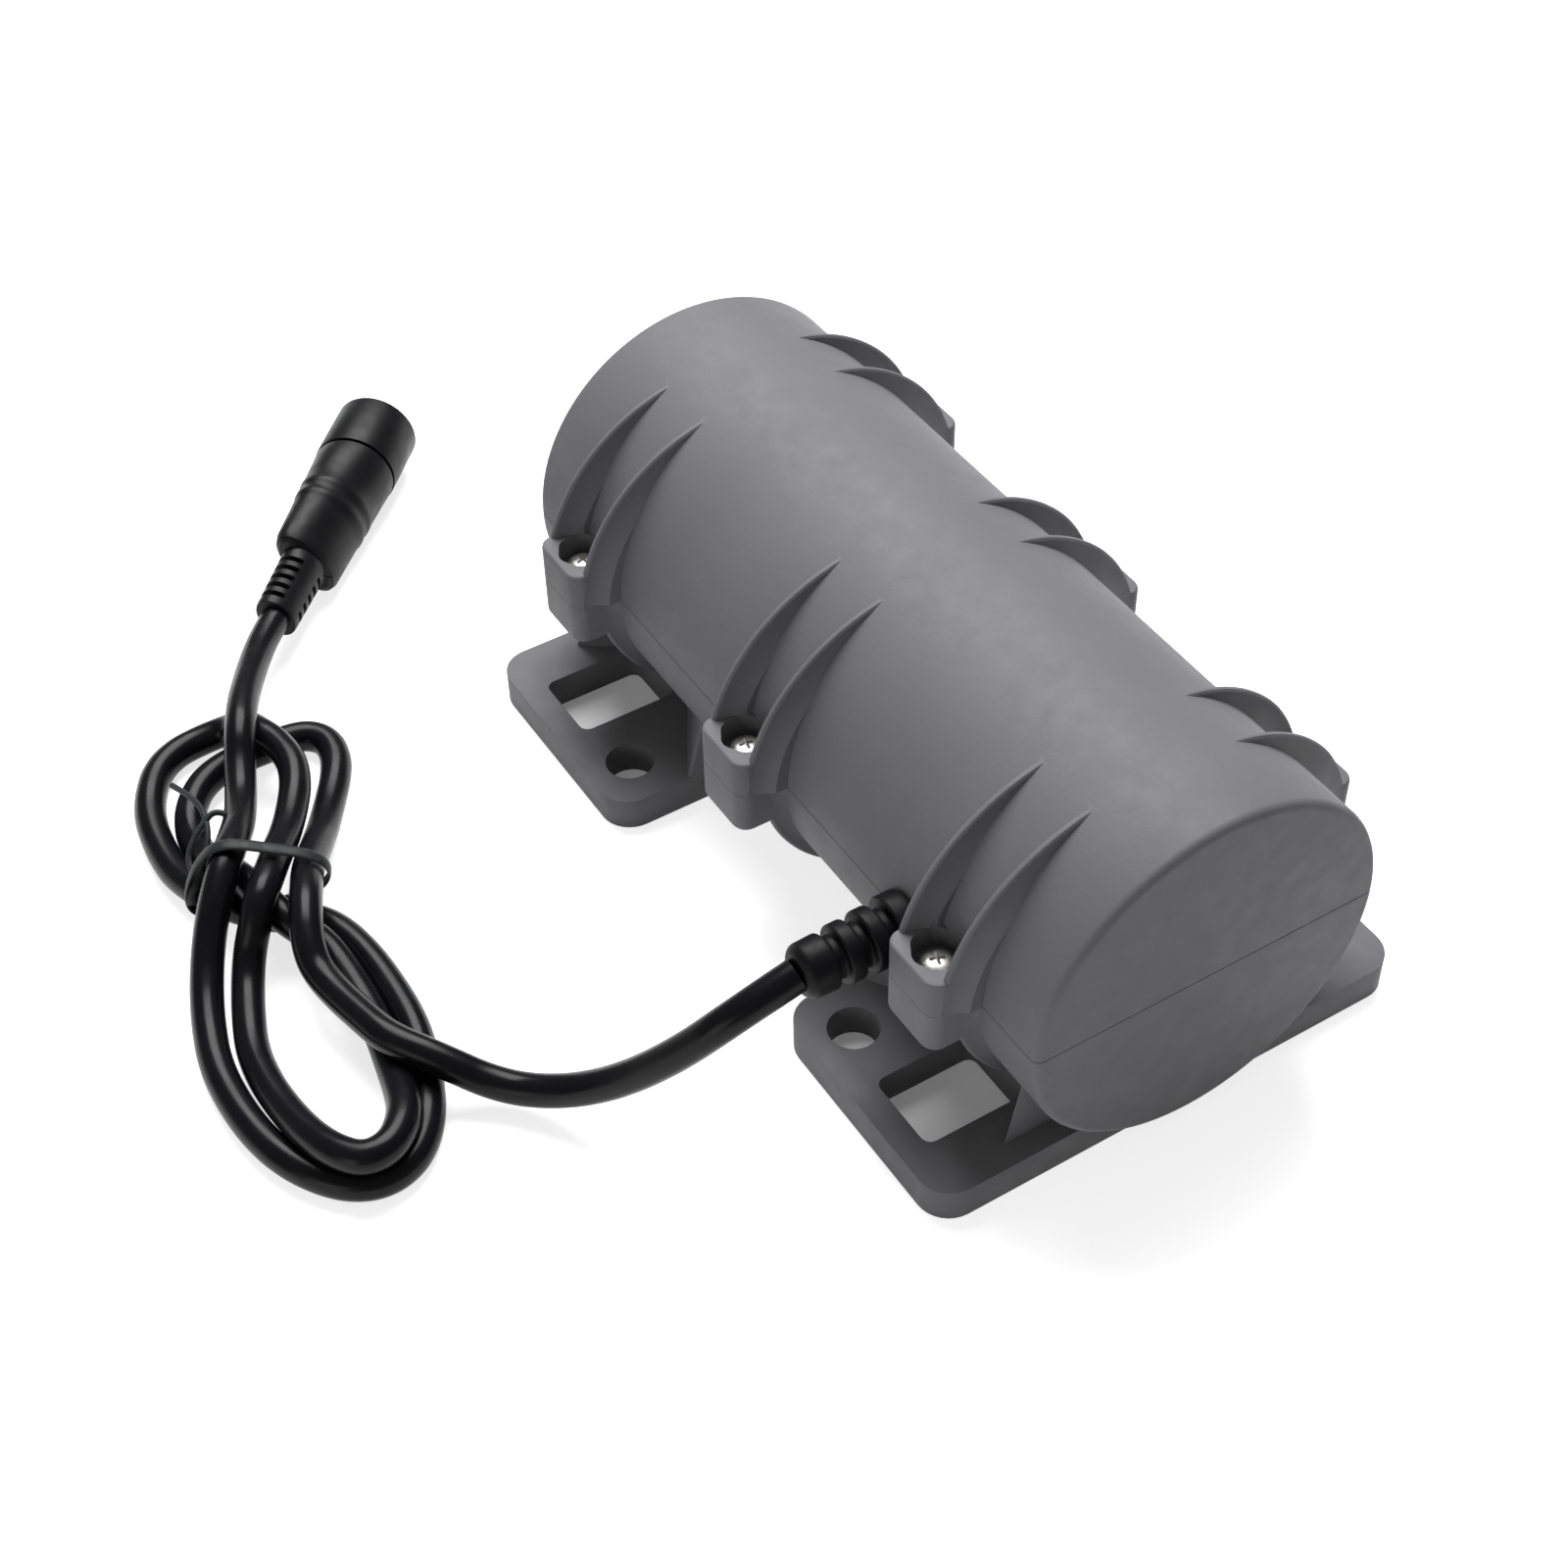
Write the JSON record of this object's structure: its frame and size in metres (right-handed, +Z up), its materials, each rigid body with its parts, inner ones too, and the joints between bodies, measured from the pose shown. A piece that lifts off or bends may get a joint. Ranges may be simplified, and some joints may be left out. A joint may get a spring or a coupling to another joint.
{
  "type": "vibration motor",
  "caption": "Cylindrical clam-shell vibration motor on two slotted foot plates, with eccentric weights on its shaft and a tied power cord ending in an in-line socket.",
  "frame": {"origin": "on the mounting plane under the middle of the housing, halfway between the two foot plates", "axes": "+X along the motor shaft towards the end beside the cord outlet, +Z up from the feet, -Y to the side where the cord leaves"},
  "size_m": [0.1693, 0.1313, 0.0496],
  "materials": {
    "housing_plastic": "fine moulded matte grey",
    "screw_nickel": "bright nickel plated",
    "can_steel": "zinc plated",
    "bell_alloy": "die cast",
    "bearing_steel": "ground",
    "stator_steel": "laminated",
    "copper_wire": "enamelled copper wire",
    "shaft_steel": "ground",
    "magnet_dark": "sintered",
    "weight_steel": "turned steel",
    "set_screw_black": "black oxide",
    "board_green": "solder mask",
    "chip_black": "moulded",
    "wire_red": "insulation",
    "wire_black": "insulation",
    "gland_rubber": "satin",
    "cord_jacket": "satin",
    "tie_jacket": "gloss",
    "connector_plastic": "moulded satin",
    "contact_nickel": "plated",
    "insulator_black": "moulded"
  },
  "bodies": {
    "housing": {"upper_housing": "housing_plastic", "lower_housing": "housing_plastic", "housing_screws": "screw_nickel", "motor_can": "can_steel", "front_end_bell": "bell_alloy", "rear_end_bell": "bell_alloy", "front_bearing_outer": "bearing_steel", "front_bearing_balls": "bearing_steel", "rear_bearing_outer": "bearing_steel", "rear_bearing_balls": "bearing_steel", "stator_core": "stator_steel", "stator_windings": "copper_wire", "driver_board": "board_green", "driver_parts": "chip_black", "positive_lead": "wire_red", "negative_lead": "wire_black", "cord_gland": "gland_rubber", "power_cord_lead": "cord_jacket", "cord_hank": "cord_jacket", "power_cord_tail": "cord_jacket", "twist_tie": "tie_jacket", "connector_body": "connector_plastic", "connector_sleeve": "contact_nickel", "connector_insulator": "insulator_black", "connector_pin": "contact_nickel"},
    "rotor": {"rotor_shaft": "shaft_steel", "rotor_core": "stator_steel", "rotor_magnet": "magnet_dark", "front_bearing_inner": "bearing_steel", "rear_bearing_inner": "bearing_steel", "front_weight": "weight_steel", "rear_weight": "weight_steel", "weight_set_screws": "set_screw_black"}
  },
  "joints": [
    {"name": "shaft_spin", "type": "hinge", "parent": "housing", "child": "rotor", "pos_m": [0, 0, 0.0256], "axis": [1, 0, 0], "continuous": true}
  ]
}
